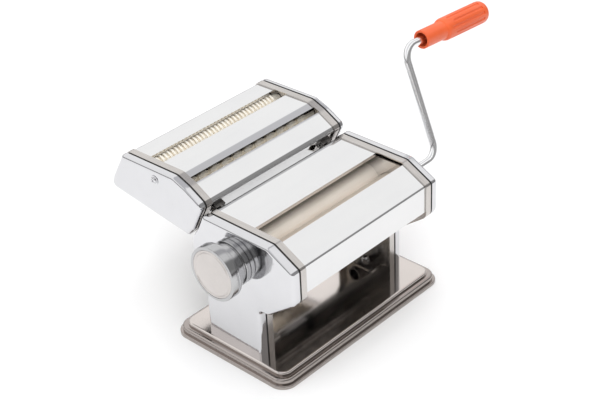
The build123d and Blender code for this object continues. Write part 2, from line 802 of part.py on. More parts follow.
with BuildPart() as crank_grip:
    with BuildSketch(grip_plane):
        Circle(grip_collar_radius)
    extrude(amount=grip_collar_length)
    with BuildSketch(grip_plane.offset(grip_collar_length)):
        Circle(grip_body_radius)
    extrude(amount=grip_length - grip_collar_length)
    fillet(faces().sort_by(Axis.X)[-1].edges(), 4.5)
    with BuildSketch(grip_plane.offset(grip_collar_length + 4.0)):
        with PolarLocations(grip_body_radius + 2.1, grip_flutes):
            Circle(2.9)
    extrude(amount=grip_length, mode=Mode.SUBTRACT)
    with BuildSketch(grip_plane):
        Circle(6.2)
    extrude(amount=24.0, mode=Mode.SUBTRACT)
    with BuildSketch(grip_plane):
        Circle(crank_radius + grip_bore_clearance)
    extrude(amount=retainer_start, mode=Mode.SUBTRACT)
    with BuildSketch(grip_plane.offset(retainer_start - 0.2)):
        Circle(5.8)
    extrude(amount=4.4, mode=Mode.SUBTRACT)
finish(crank_grip.part, "crank_grip")

# ---------------------------------------------------------------- cutter head shells
screw_y = 83.7
screw_z = 134.6
cap_screw_radius = 1.6
cap_screw_length = 1.8
cap_washer_radius = 4.2
cap_washer_face = cutter_cap_outer + 0.6
cap_screw_head_radius = 2.9
cap_screw_face = cap_washer_face + 1.3
cap_screw_edge = 0.6
cap_screw_cross = 4.0
cap_screw_cross_width = 0.8
cap_screw_cross_depth = 0.7
screw_hole = [(screw_y, screw_z, cap_screw_radius + cap_hole_clearance)]
socket_holes = [(y, z, cutter_journal + shaft_hole_clearance) for y, z in
                ((fine_rear_y, fine_axis_z), (wide_front_y, wide_front_z))]
finish(side_cap(-1, cutter_corners, cutter_cap_outer, screw_hole), "cutter_left_cap")
finish(side_cap(1, cutter_corners, cutter_cap_outer, screw_hole + socket_holes), "cutter_right_cap")

cutter_axes = [
    (fine_front_y, fine_axis_z),
    (fine_rear_y, fine_axis_z),
    (wide_front_y, wide_front_z),
    (wide_rear_y, wide_rear_z),
]
cutter_rod_radius = 2.5
cutter_rod_spots = [(53.5, 101.5), (76.0, 110.0), (130.5, 113.5)]
axis_holes = [(y, z, cutter_journal + running_clearance) for y, z in cutter_axes]
cutter_rod_holes = [(y, z, cutter_rod_radius) for y, z in cutter_rod_spots]
finish(side_frame(-1, cutter_corners, axis_holes + cutter_rod_holes, []), "cutter_left_frame")
finish(side_frame(1, cutter_corners, axis_holes + cutter_rod_holes, []), "cutter_right_frame")

cutter_skin = frame_wall + hood_clearance + hood_wall / 2
cutter_lip = 1.8
rear_lip = lip(fine_slot_rear, 1, 144.2 - cutter_skin, cutter_lip)
finish(hood(cutter_corners, hood_half, fine_slot_rear, 160.0, 113.0, [rear_lip]), "cutter_rear_hood")
centre_lips = [
    lip(fine_slot_front, -1, 144.5 - cutter_skin, cutter_lip),
    lip(wide_slot_rear, 1, 142.3 - cutter_skin, cutter_lip),
]
centre_hood = hood(cutter_corners, hood_half, wide_slot_rear, fine_slot_front, 135.0, centre_lips)
finish(centre_hood, "cutter_centre_hood")
front_lip = lip(wide_slot_front, -1, 140.0 - cutter_skin, cutter_lip)
finish(hood(cutter_corners, hood_half, 20.0, wide_slot_front, 108.0, [front_lip]), "cutter_front_hood")

with BuildPart() as cutter_tie_rods:
    with BuildSketch(Plane.YZ.offset(-frame_outer)):
        with Locations(*cutter_rod_spots):
            Circle(cutter_rod_radius)
    extrude(amount=2 * frame_outer)
finish(cutter_tie_rods.part, "cutter_tie_rods")

with BuildPart() as cutter_cap_screws:
    for side in (-1, 1):
        for near, far, radius in [
            (cutter_cap_outer - cap_screw_length, cutter_cap_outer, cap_screw_radius),
            (cutter_cap_outer, cap_washer_face, cap_washer_radius),
            (cap_washer_face, cap_screw_face, cap_screw_head_radius),
        ]:
            with BuildSketch(Plane.YZ.offset(station(side, near, far))):
                with Locations((screw_y, screw_z)):
                    Circle(radius)
            extrude(amount=far - near)
        outer = faces().sort_by(Axis.X)[-1 if side > 0 else 0]
        fillet(outer.edges(), cap_screw_edge)
        cross_plane = Plane.YZ.offset(station(side, cap_screw_face - cap_screw_cross_depth, cap_screw_face))
        with BuildSketch(cross_plane):
            with Locations((screw_y, screw_z)):
                Rectangle(cap_screw_cross, cap_screw_cross_width)
                Rectangle(cap_screw_cross_width, cap_screw_cross)
        extrude(amount=cap_screw_cross_depth, mode=Mode.SUBTRACT)
finish(cutter_cap_screws.part, "cutter_cap_screws")


# ---------------------------------------------------------------- cutters
def cutter(y, z, pitch, strip, count, shift, driven):
    """Cutter shaft with evenly spaced discs, and a crank socket if it is driven."""
    first = -(count - 1) / 2 * pitch + shift - strip / 2
    with BuildPart() as body:
        with BuildSketch(Plane.YZ.offset(-cutter_half)):
            with Locations((y, z)):
                Circle(cutter_core)
        extrude(amount=2 * cutter_half)
        with BuildSketch(*[Plane.YZ.offset(first + i * pitch) for i in range(count)]):
            with Locations((y, z)):
                Circle(cutter_radius)
        extrude(amount=strip)
        with BuildSketch(Plane.YZ.offset(-slide_far)):
            with Locations((y, z)):
                Circle(cutter_journal)
        extrude(amount=slide_far + (cutter_socket_mouth if driven else cutter_gear_far))
        if driven:
            with BuildSketch(Plane.YZ.offset(cutter_socket_mouth - socket_depth)):
                with Locations((y, z)):
                    Circle(socket_radius)
            extrude(amount=socket_depth, mode=Mode.SUBTRACT)
            with BuildSketch(Plane.YZ.offset(cutter_socket_mouth - socket_slot_depth)):
                with Locations((y, z)):
                    Rectangle(crank_pin_slot, 4 * cutter_journal)
            extrude(amount=socket_slot_depth, mode=Mode.SUBTRACT)
    return body.part


finish(cutter(fine_rear_y, fine_axis_z, fine_pitch, fine_strip, fine_discs, 0, True), "fine_drive_cutter")
fine_mate = cutter(fine_front_y, fine_axis_z, fine_pitch, fine_strip, fine_discs - 1, 0, False)
finish(fine_mate, "fine_mate_cutter")
finish(cutter(wide_front_y, wide_front_z, wide_pitch, wide_strip, wide_discs, 0, True), "wide_drive_cutter")
finish(cutter(wide_rear_y, wide_rear_z, wide_pitch, wide_strip, wide_discs - 1, 0, False), "wide_mate_cutter")

cutter_module = cutter_centres / gear_teeth
gear_places = {
    "fine_drive_gear": (fine_rear_y, fine_axis_z, 0),
    "fine_mate_gear": (fine_front_y, fine_axis_z, 15),
    "wide_drive_gear": (wide_front_y, wide_front_z, wide_tilt),
    "wide_mate_gear": (wide_rear_y, wide_rear_z, wide_tilt + 15),
}
for name, (y, z, phase) in gear_places.items():
    finish(gear(y, z, cutter_gear_near, cutter_gear_far, cutter_module, cutter_journal, phase), name)


# ---------------------------------------------------------------- combs that strip the cut strands
def comb(y, z, outward, pitch, strip, count):
    """Toothed strip beside a cutter core, with a tooth in each gap between discs."""
    plane_y = y + outward * (cutter_core + 0.4 + 0.4)
    tooth = (pitch - strip) * 0.72
    with BuildPart() as strip_part:
        with BuildSketch(Plane.XZ.offset(-plane_y - 0.4)):
            with Locations((0, z - cutter_radius - 2.8)):
                Rectangle(2 * hood_half - 0.2, 4.2)
            with Locations((0, z - cutter_radius + 2.6)):
                with GridLocations(pitch, 1, count - 1, 1):
                    Rectangle(tooth, 8.0)
        extrude(amount=0.8)
    return strip_part.part


with BuildPart() as fine_combs:
    add(comb(fine_rear_y, fine_axis_z, 1, fine_pitch, fine_strip, fine_discs))
    add(comb(fine_front_y, fine_axis_z, -1, fine_pitch, fine_strip, fine_discs - 1))
finish(fine_combs.part, "fine_combs")
with BuildPart() as wide_combs:
    add(comb(wide_front_y, wide_front_z, -1, wide_pitch, wide_strip, wide_discs))
    add(comb(wide_rear_y, wide_rear_z, 1, wide_pitch, wide_strip, wide_discs - 1))
finish(wide_combs.part, "wide_combs")

# ---------------------------------------------------------------- rails that the cutter head slides down on
slope_low = head_corners[-1][:2]
slope_high = head_corners[0][:2]
slope_length = math.dist(slope_low, slope_high)
slide_up = ((slope_high[0] - slope_low[0]) / slope_length, (slope_high[1] - slope_low[1]) / slope_length)
rail_rise = 7.7
rail_x = 64.0
rail_length = 9.5
rail_root = frame_wall + hood_clearance
rail_web = 3.5
rail_web_width = 2.4
rail_head = 1.2
rail_head_width = 6.0
rail_plane_normal = (0, slide_up[0], slide_up[1])


def rail_plane(side, lift):
    """Plane across the slide direction, with its first axis along X and its second outwards."""
    y = slope_low[0] + slide_up[0] * (rail_rise + lift)
    z = slope_low[1] + slide_up[1] * (rail_rise + lift)
    return Plane(origin=(side * rail_x, y, z), x_dir=(1, 0, 0), z_dir=rail_plane_normal)


with BuildPart() as attachment_rails:
    for side in (-1, 1):
        with BuildSketch(rail_plane(side, -rail_length / 2)):
            with Locations((0, rail_web / 2 - rail_root)):
                Rectangle(rail_web_width, rail_web)
            with Locations((0, rail_web - rail_root + rail_head / 2)):
                Rectangle(rail_head_width, rail_head)
        extrude(amount=rail_length)
finish(attachment_rails.part, "attachment_rails")

# The hook's channel stands off the rail by the same clearance all round.
rail_clearance = 0.25
hook_low = 0.9
hook_wall = 1.8
hook_depth = 3.5
with BuildPart() as attachment_hooks:
    for side in (-1, 1):
        with BuildSketch(rail_plane(side, -rail_length / 2)):
            with Locations((0, hook_low + hook_depth / 2)):
                Rectangle(rail_head_width + 2 * hook_wall, hook_depth)
            with Locations((0, rail_web - rail_root + rail_head / 2)):
                mouth_width = rail_head_width + 2 * rail_clearance
                Rectangle(mouth_width, rail_head + 2 * rail_clearance, mode=Mode.SUBTRACT)
            with Locations((0, rail_web / 2)):
                Rectangle(rail_web_width + 2 * rail_clearance, rail_web, mode=Mode.SUBTRACT)
        extrude(amount=rail_length)
finish(attachment_hooks.part, "attachment_hooks")
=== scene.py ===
import json
import math

import bpy
from mathutils import Matrix, Vector


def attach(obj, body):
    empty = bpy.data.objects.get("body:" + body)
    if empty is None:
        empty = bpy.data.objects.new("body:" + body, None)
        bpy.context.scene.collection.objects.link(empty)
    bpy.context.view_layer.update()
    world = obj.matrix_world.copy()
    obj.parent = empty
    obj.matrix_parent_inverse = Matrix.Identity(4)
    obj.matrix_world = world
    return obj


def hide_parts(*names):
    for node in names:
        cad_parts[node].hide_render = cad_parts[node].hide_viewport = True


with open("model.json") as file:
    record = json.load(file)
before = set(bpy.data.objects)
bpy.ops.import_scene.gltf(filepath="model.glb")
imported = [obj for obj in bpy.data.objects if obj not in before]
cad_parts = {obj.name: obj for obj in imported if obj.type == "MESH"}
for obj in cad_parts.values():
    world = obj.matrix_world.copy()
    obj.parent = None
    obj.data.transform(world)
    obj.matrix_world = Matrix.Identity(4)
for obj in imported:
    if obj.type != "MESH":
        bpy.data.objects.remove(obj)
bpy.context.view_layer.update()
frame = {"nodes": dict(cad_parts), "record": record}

# Pasta roller machine. X runs along the rollers with the crank at +X, +Y is the back,
# where the cutter head hangs, and Z is up from the table. Lengths are in metres.
mm = 0.001


# ---------------------------------------------------------------- finishes
class Signal:
    """A shader socket that can be used in arithmetic."""

    def __init__(self, finish, socket):
        self.finish = finish
        self.socket = socket

    def sum_of(self, operation, first, second):
        return self.finish.node("ShaderNodeMath", {"operation": operation}, {0: first, 1: second})

    def __add__(self, other):
        return self.sum_of("ADD", self, other)

    def __radd__(self, other):
        return self.sum_of("ADD", other, self)

    def __sub__(self, other):
        return self.sum_of("SUBTRACT", self, other)

    def __mul__(self, other):
        return self.sum_of("MULTIPLY", self, other)


class Finish:
    """A material being made: nodes go in through one method."""

    def __init__(self, name, tree=None):
        if tree is None:
            self.material = bpy.data.materials.new(name)
            self.material.use_nodes = True
            tree = self.material.node_tree
            self.shader = tree.nodes["Principled BSDF"]
        self.tree = tree

    def node(self, kind, settings=None, inputs=None, output=0):
        made = self.tree.nodes.new(kind)
        for key, value in (settings or {}).items():
            setattr(made, key, value)
        for key, value in (inputs or {}).items():
            self.feed(made.inputs[key], value)
        return Signal(self, made.outputs[output])

    def feed(self, socket, value):
        if isinstance(value, Signal):
            self.tree.links.new(value.socket, socket)
        else:
            socket.default_value = value

    def set(self, **values):
        for key, value in values.items():
            self.feed(self.shader.inputs[key.replace("_", " ")], value)
        return self.material

    def place(self):
        return self.node("ShaderNodeTexCoord", output="Object")

    def stretched(self, scale):
        return self.node("ShaderNodeMapping", {}, {"Vector": self.place(), "Scale": scale})

    def noise(self, vector, scale, detail=2.0, roughness=0.5):
        return self.node(
            "ShaderNodeTexNoise",
            {},
            {"Vector": vector, "Scale": scale, "Detail": detail, "Roughness": roughness},
        )

    def between(self, low, high, signal, from_low=0.35, from_high=0.65):
        return self.node(
            "ShaderNodeMapRange",
            {"clamp": True},
            {"Value": signal, "From Min": from_low, "From Max": from_high, "To Min": low, "To Max": high},
        )

    def blend(self, first, second, factor):
        return self.node(
            "ShaderNodeMix",
            {"data_type": "RGBA"},
            {"Factor": factor, 6: first, 7: second},
            output=2,
        )

    def bump(self, height, strength, distance):
        return self.node("ShaderNodeBump", {}, {"Height": height, "Strength": strength, "Distance": distance})


def colour(red, green, blue):
    return (red, green, blue, 1.0)


def polished_sheet(name, tint, shade, gloss, haze):
    """Polished sheet metal: clean mirror with faint wiping haze."""
    finish = Finish(name)
    cloud = finish.noise(finish.place(), 22.0, 3.0)
    wipe = finish.noise(finish.stretched((14.0, 90.0, 90.0)), 1.0, 3.0, 0.6)
    mask = finish.between(0.0, 1.0, cloud * 0.6 + wipe * 0.4)
    base = finish.blend(tint, shade, mask)
    rough = gloss + mask * haze
    finish.set(Base_Color=base, Metallic=1.0, Roughness=rough)
    return finish.material


def tray_with_painted_rim_shade(name, tint, shade, edge, gloss, haze):
    """Polished warm steel with painted shade round its stepped rim: the colour turns darker and browner
    there, standing for the shade and dark reflections of the steps.
    """
    finish = Finish(name)
    cloud = finish.noise(finish.place(), 22.0, 3.0)
    height = finish.node("ShaderNodeSeparateXYZ", {}, {0: finish.place()}, output=2)
    face = finish.blend(tint, shade, finish.between(0.0, 1.0, cloud))
    # Painted shade: below 10.4 mm height the colour turns to the dark edge tint, for the shade and dark
    # reflections in the stepped rim.
    rim = finish.between(1.0, 0.0, height, 0.0086, 0.0104)
    finish.set(Base_Color=finish.blend(face, edge, rim), Metallic=1.0, Roughness=gloss + cloud * haze)
    return finish.material


def pressed_sheet(name, tint, shade, gloss):
    """Pressed steel with fine drawn lines running round the flange."""
    finish = Finish(name)
    cloud = finish.noise(finish.place(), 30.0, 3.0)
    lines = finish.noise(finish.stretched((1900.0, 60.0, 60.0)), 1.0, 2.0, 0.6)
    mask = finish.between(0.0, 1.0, cloud * 0.5 + lines * 0.5)
    finish.set(
        Base_Color=finish.blend(tint, shade, mask),
        Metallic=1.0,
        Roughness=gloss + lines * 0.10,
        Normal=finish.bump(lines, 0.10, 0.0002),
    )
    return finish.material


def ground_bar(name, tint, shade, gloss, lines_at, metal=1.0):
    """Ground round bar: fine lines in one direction and a little tarnish."""
    finish = Finish(name)
    lines = finish.noise(finish.stretched(lines_at), 1.0, 3.0, 0.65)
    cloud = finish.noise(finish.place(), 34.0, 2.0)
    mask = finish.between(0.0, 1.0, lines * 0.6 + cloud * 0.4)
    finish.set(
        Base_Color=finish.blend(tint, shade, mask),
        Metallic=metal,
        Roughness=gloss + lines * 0.14,
        Normal=finish.bump(lines, 0.12, 0.0003),
    )
    return finish.material


def plain_steel(name, tint, shade, gloss):
    """Unpolished steel of the inner pieces, with mill mottling."""
    finish = Finish(name)
    cloud = finish.noise(finish.place(), 160.0, 4.0, 0.6)
    mask = finish.between(0.0, 1.0, cloud)
    finish.set(
        Base_Color=finish.blend(tint, shade, mask),
        Metallic=1.0,
        Roughness=gloss + mask * 0.15,
        Normal=finish.bump(cloud, 0.08, 0.0004),
    )
    return finish.material


def moulded_plastic(name, tint, shade, gloss):
    """Moulded plastic with a soft colour drift and a fine skin."""
    finish = Finish(name)
    cloud = finish.noise(finish.place(), 26.0, 3.0)
    grain = finish.noise(finish.place(), 900.0, 2.0)
    mask = finish.between(0.0, 1.0, cloud)
    finish.set(
        Base_Color=finish.blend(tint, shade, mask),
        Roughness=gloss + mask * 0.08,
        Normal=finish.bump(grain, 0.06, 0.0003),
        Coat_Weight=0.12,
        Coat_Roughness=0.12,
    )
    return finish.material


hood_finish = polished_sheet(
    "hood_mirror", colour(0.765, 0.765, 0.765), colour(0.74, 0.74, 0.745), 0.035, 0.05
)
cap_finish = polished_sheet("cap_mirror", colour(0.685, 0.685, 0.70), colour(0.66, 0.66, 0.675), 0.05, 0.06)
collar_finish = pressed_sheet("collar_steel", colour(0.62, 0.59, 0.565), colour(0.51, 0.485, 0.465), 0.16)
# The base tray's dark rim tint (0.40, 0.36, 0.34) is painted shade for its stepped rim.
base_finish = tray_with_painted_rim_shade(
    "base_mirror", colour(0.69, 0.635, 0.605), colour(0.64, 0.59, 0.56), colour(0.40, 0.36, 0.34), 0.06, 0.06
)
roller_lines = (30.0, 900.0, 900.0)
# Painted light: the rear roller's colour is raised to a near-white warm cream so it reads as lit in the slot,
# and its warm tint stands for a warm reflection.
roller_finish = ground_bar(
    "roller_ground", colour(0.97, 0.90, 0.82), colour(0.90, 0.82, 0.72), 0.34, roller_lines, 0.12
)
# Painted shade: the front roller is a darker brown copy of the same ground roller steel.
shaded_front_roller_finish = ground_bar(
    "front_roller_painted_shade", colour(0.70, 0.61, 0.52), colour(0.62, 0.53, 0.45), 0.30, roller_lines, 0.3
)
turned_lines = (900.0, 90.0, 90.0)
cutter_finish = ground_bar(
    "cutter_turned", colour(0.97, 0.93, 0.84), colour(0.88, 0.82, 0.72), 0.30, turned_lines, 0.4
)
crank_finish = polished_sheet(
    "crank_plating", colour(0.93, 0.93, 0.935), colour(0.89, 0.89, 0.90), 0.20, 0.06
)
knob_finish = polished_sheet(
    "knob_plating", colour(0.50, 0.50, 0.505), colour(0.44, 0.44, 0.445), 0.12, 0.08
)
knob_face_finish = polished_sheet(
    "knob_face_satin", colour(0.62, 0.585, 0.565), colour(0.57, 0.54, 0.52), 0.30, 0.08
)
grip_finish = moulded_plastic("grip_plastic", colour(0.86, 0.14, 0.038), colour(0.80, 0.12, 0.03), 0.36)
# Painted shade: the inner steel is tinted far darker than bare steel, for the shade inside the machine; its
# mottling is the steel's own.
inner_painted_shade_finish = plain_steel("inner_steel", colour(0.20, 0.19, 0.18), colour(0.12, 0.115, 0.11), 0.30)
fastener_finish = plain_steel("fastener_plating", colour(0.64, 0.64, 0.65), colour(0.52, 0.52, 0.53), 0.16)
rubber_finish = moulded_plastic("foot_rubber", colour(0.03, 0.03, 0.03), colour(0.05, 0.05, 0.05), 0.6)

slot_finish = {
    "polished_shell": hood_finish,
    "base_steel": base_finish,
    "roller_metal": roller_finish,
    "cutter_metal": cutter_finish,
    "crank_metal": crank_finish,
    "knob_metal": knob_finish,
    "knob_face_metal": knob_face_finish,
    "grip_plastic": grip_finish,
    "inner_steel": inner_painted_shade_finish,
    "fastener_steel": fastener_finish,
    "foot_rubber": rubber_finish,
}


def dress_cad_nodes():
    """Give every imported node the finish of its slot, and shells their own."""
    for subpart in frame["record"]["subparts"]:
        node = frame["nodes"][subpart["node"]]
        finish = slot_finish[subpart["material_slot"]]
        if subpart["node"].endswith("_frame"):
            finish = collar_finish
        if subpart["node"].endswith("_cap"):
            finish = cap_finish
        # The front drive roller gets the darker roller copy as painted shade.
        if subpart["node"] == "drive_roller":
            finish = shaded_front_roller_finish
        for holder in node.material_slots:
            holder.material = finish


dress_cad_nodes()


# ---------------------------------------------------------------- modelling
same_place = 0.01
rim_radius = 3.2
cap_wall = 0.9
frame_back = 78.9
seam = 80.8
strip_width = 3.0
head_outer = 88.0
cutter_outer = 86.0
tray_top = 11.0
knob_axis = (-3.9, 95.0)
crank_axis = (-28.7, 95.0)
clamp_axis = (2.0, 24.0)
fine_axis = (103.2, 130.6)
wide_axis = (50.1, 124.8)
screw_axis = (83.7, 134.6)
elbow = Vector((137.0, 8.0, 187.0))
grip_droop = math.radians(3.5)


def start_point(name, place):
    """A mesh with one vertex, left in edit mode."""
    bpy.ops.object.select_all(action="DESELECT")
    bpy.ops.mesh.primitive_plane_add(size=mm)
    piece = bpy.context.object
    piece.name = name
    bpy.ops.object.mode_set(mode="EDIT")
    bpy.ops.mesh.select_mode(type="VERT")
    bpy.ops.mesh.select_all(action="SELECT")
    bpy.ops.mesh.merge(type="CENTER")
    bpy.ops.transform.translate(value=Vector(place) * mm)
    return piece


def pick(piece, chosen):
    """Selects the vertices that pass a test on their place in millimetres, in edit mode."""
    bpy.ops.object.mode_set(mode="EDIT")
    bpy.ops.mesh.select_mode(type="VERT")
    bpy.ops.mesh.select_all(action="DESELECT")
    bpy.ops.object.mode_set(mode="OBJECT")
    for vertex in piece.data.vertices:
        vertex.select = chosen(vertex.co / mm)
    bpy.ops.object.mode_set(mode="EDIT")


def pick_at_x(piece, x):
    pick(piece, lambda place: abs(place.x - x) < same_place)


def pick_only(piece):
    """Leaves edit mode with this piece alone selected and active."""
    if bpy.context.object.mode != "OBJECT":
        bpy.ops.object.mode_set(mode="OBJECT")
    bpy.ops.object.select_all(action="DESELECT")
    piece.select_set(True)
    bpy.context.view_layer.objects.active = piece


def slide(step):
    bpy.ops.mesh.extrude_region_move(TRANSFORM_OT_translate={"value": Vector(step) * mm})


def outward(piece):
    bpy.ops.mesh.select_all(action="SELECT")
    bpy.ops.mesh.normals_make_consistent(inside=False)


def draw_line(name, points):
    """An open line of edges through the points."""
    piece = start_point(name, points[0])
    for last, point in zip(points, points[1:]):
        step = (Vector(point) - Vector(last)) * mm
        bpy.ops.mesh.extrude_vertices_move(TRANSFORM_OT_translate={"value": step})
    return piece


def close_line(piece, points):
    """Joins the two ends of a drawn line with an edge."""
    ends = (Vector(points[0]), Vector(points[-1]))
    pick(piece, lambda place: min((place - end).length for end in ends) < same_place)
    bpy.ops.mesh.edge_face_add()
    bpy.ops.mesh.select_all(action="SELECT")


def round_over(piece, corners, x):
    """Rounds the corners of a flat outline in the YZ plane, each to its own radius."""
    for index, (y, z, radius) in enumerate(corners):
        last = corners[index - 1]
        following = corners[(index + 1) % len(corners)]
        arriving = Vector((y - last[0], z - last[1])).normalized()
        leaving = Vector((following[0] - y, following[1] - z)).normalized()
        turn = arriving.angle(leaving)
        if radius == 0 or turn < math.radians(2):
            continue
        corner = Vector((x, y, z))
        pick(piece, lambda place: (place - corner).length < same_place)
        bpy.ops.mesh.bevel(
            offset=radius * math.tan(turn / 2) * mm,
            offset_type="OFFSET",
            segments=max(3, round(math.degrees(turn) / 7)),
            profile=0.5,
            affect="VERTICES",
        )


def flat_outline(name, corners, x):
    """One flat face in the YZ plane with rounded corners, left in edit mode and selected."""
    points = [(x, y, z) for y, z, _ in corners]
    piece = draw_line(name, points)
    close_line(piece, points)
    bpy.ops.mesh.edge_face_add()
    round_over(piece, corners, x)
    bpy.ops.mesh.select_all(action="SELECT")
    return piece


def cut_below(floor):
    bpy.ops.mesh.select_all(action="SELECT")
    bpy.ops.mesh.bisect(plane_co=(0, 0, floor * mm), plane_no=(0, 0, 1), use_fill=False, clear_inner=True)


def apply_modifier(piece, kind, settings):
    bpy.ops.object.mode_set(mode="OBJECT")
    modifier = piece.modifiers.new(kind.lower(), kind)
    for key, value in settings.items():
        setattr(modifier, key, value)
    bpy.ops.object.modifier_apply(modifier=modifier.name)


def cut_away(piece, cutter):
    """Takes the cutter's solid out of the piece and removes the cutter."""
    pick_only(piece)
    apply_modifier(piece, "BOOLEAN", {"object": cutter, "operation": "DIFFERENCE", "solver": "EXACT"})
    bpy.data.objects.remove(cutter, do_unlink=True)


def bar_along_x(middle, radius, length, sides):
    """A round bar along X."""
    bpy.ops.object.select_all(action="DESELECT")
    bpy.ops.mesh.primitive_cylinder_add(
        vertices=sides,
        radius=radius * mm,
        depth=length * mm,
        location=Vector(middle) * mm,
        rotation=(0.0, math.pi / 2, 0.0),
    )
    return bpy.context.object


def joined(pieces):
    """Several objects made into the first of them."""
    bpy.ops.object.select_all(action="DESELECT")
    for piece in pieces:
        piece.select_set(True)
    bpy.context.view_layer.objects.active = pieces[0]
    bpy.ops.object.join()
    return pieces[0]


def turned(name, profile, axis, steps):
    """A piece turned about an axis along X; the profile is a line of (x, radius)."""
    points = [(x, axis[0], axis[1] + radius) for x, radius in profile]
    piece = draw_line(name, points)
    if profile[0][1] > 0 and profile[-1][1] > 0:
        close_line(piece, points)
    bpy.ops.mesh.select_all(action="SELECT")
    bpy.ops.mesh.spin(
        steps=steps,
        angle=2 * math.pi,
        center=(0, axis[0] * mm, axis[1] * mm),
        axis=(1, 0, 0),
    )
    bpy.ops.mesh.select_all(action="SELECT")
    bpy.ops.mesh.remove_doubles(threshold=0.002 * mm)
    outward(piece)
    return piece


def ready(piece, finish, body, nodes, angle=32.0):
    """Leaves edit mode and hands the piece to the frame."""
    pick_only(piece)
    bpy.ops.object.shade_smooth_by_angle(angle=math.radians(angle))
    piece.data.materials.clear()
    piece.data.materials.append(finish)
    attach(piece, body)
    if nodes:
        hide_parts(*nodes)


# ---------------------------------------------------------------- end caps
head_outline = [
    (29, 123, 3.4), (-42, 123, 5), (-67.5, 109.5, 4), (-67.5, 79.5, 9), (-38, 57, 9), (-28, 56.5, 4),
    (-28, 4, 0), (32, 4, 0), (32, 57, 6), (44, 83, 8), (44, 96.5, 5), (35.5, 109, 20),
]
cutter_outline = [
    (122.5, 143.8, 3.4), (62, 145, 8), (48.5, 139.8, 25), (33, 131, 4), (30.8, 127, 3.4), (33.5, 121.5, 3.4),
    (43, 102.6, 8), (49.5, 95, 3.5), (136.5, 107.2, 5), (139.8, 111.5, 3.4), (137, 118.6, 4), (125, 139.4, 6),
]


def roll_rim():
    """Rolls the edge of the selected face over in a quarter circle."""
    steps = 8
    for step in range(steps):
        start = math.radians(90 * step / steps)
        end = math.radians(90 * (step + 1) / steps)
        bpy.ops.mesh.inset(
            thickness=rim_radius * (math.cos(start) - math.cos(end)) * mm,
            depth=rim_radius * (math.sin(end) - math.sin(start)) * mm,
            use_even_offset=True,
        )


def pan(name, side, corners, outer, holes, floor=None):
    """A pressed end cap: the outline drawn out along X with a rounded rim, open inside."""
    piece = flat_outline(name, corners, side * seam)
    slide((side * (outer - rim_radius - seam), 0, 0))
    outward(piece)
    pick_at_x(piece, side * (outer - rim_radius))
    roll_rim()
    if floor is not None:
        cut_below(floor)
    pick_at_x(piece, side * seam)
    bpy.ops.mesh.select_mode(type="FACE")
    bpy.ops.mesh.delete(type="FACE")
    apply_modifier(piece, "SOLIDIFY", {"thickness": cap_wall * mm, "offset": -1.0, "use_even_offset": False})
    for (y, z), radius in holes:
        cut_away(piece, bar_along_x((side * outer, y, z), radius, 8.0, 96))
    return piece


def seam_shade_strip(name, side, corners, floor=None):
    """Painted shade: a dark strip set just inside the seam between an end cap and its collar, standing for
    the shadow in the gap.
    """
    near = side * frame_back
    piece = flat_outline(name, corners, near)
    bpy.ops.mesh.select_mode(type="FACE")
    bpy.ops.mesh.inset(thickness=1.05 * mm, depth=0.0, use_even_offset=True)
    bpy.ops.mesh.select_all(action="INVERT")
    bpy.ops.mesh.delete(type="FACE")
    bpy.ops.mesh.select_all(action="SELECT")
    slide((side * strip_width, 0, 0))
    outward(piece)
    if floor is not None:
        cut_below(floor)
    for x in (near, near + side * strip_width):
        pick_at_x(piece, x)
        bpy.ops.mesh.select_mode(type="FACE")
        bpy.ops.mesh.delete(type="ONLY_FACE")
    apply_modifier(piece, "SOLIDIFY", {"thickness": 0.5 * mm, "offset": -1.0})
    return piece


knob_hole = (knob_axis, 5.5)
crank_hole = (crank_axis, 5.4)
clamp_hole = (clamp_axis, 6.6)
screw_hole = (screw_axis, 1.7)
fine_socket_hole = (fine_axis, 5.6)
wide_socket_hole = (wide_axis, 5.6)
left_cap = pan("left_end_cap", -1, head_outline, head_outer, [knob_hole], tray_top)
ready(left_cap, cap_finish, "root", ["left_side_cap"])
right_cap = pan("right_end_cap", 1, head_outline, head_outer, [crank_hole, clamp_hole], tray_top)
ready(right_cap, cap_finish, "root", ["right_side_cap"])
cutter_left = pan("cutter_left_end", -1, cutter_outline, cutter_outer, [screw_hole])
ready(cutter_left, cap_finish, "cutter_head", ["cutter_left_cap"])
cutter_right_holes = [screw_hole, fine_socket_hole, wide_socket_hole]
cutter_right = pan("cutter_right_end", 1, cutter_outline, cutter_outer, cutter_right_holes)
ready(cutter_right, cap_finish, "cutter_head", ["cutter_right_cap"])


# ---------------------------------------------------------------- gap knob
knob_profile = [
    (-88.2, 17.0), (-88.2, 19.2), (-88.5, 19.5), (-92.1, 19.5), (-92.4, 19.2), (-92.4, 17.2), (-92.6, 17.0),
    (-94.2, 17.0), (-94.4, 17.2), (-94.4, 18.3), (-94.7, 18.6), (-99.3, 18.6), (-99.6, 18.3), (-99.6, 17.4),
    (-99.8, 17.2), (-102.0, 17.2), (-102.0, 22.7), (-102.27, 23.33), (-102.9, 23.6), (-104.4, 23.6),
    (-104.7, 23.3), (-105.0, 23.6), (-110.85, 23.6), (-111.48, 23.33), (-111.75, 22.7), (-111.75, 21.1),
    (-111.5, 20.8), (-110.35, 20.8), (-110.35, 7.6), (-97.0, 7.6), (-97.0, 4.05), (-90.6, 4.05),
    (-90.6, 17.0),
]
insert_profile = [
    (-110.35, 0.0), (-110.35, 20.7), (-111.45, 20.7), (-111.6, 20.5), (-111.6, 19.2), (-111.35, 18.9),
    (-111.35, 18.5), (-111.6, 18.2), (-111.6, 0.0),
]
knob = turned("gap_knob", knob_profile, knob_axis, 128)
ready(knob, knob_finish, "knob", ["regulator_knob"], 40.0)
insert = turned("gap_knob_face", insert_profile, knob_axis, 128)
ready(insert, knob_face_finish, "knob", ["knob_insert"], 25.0)


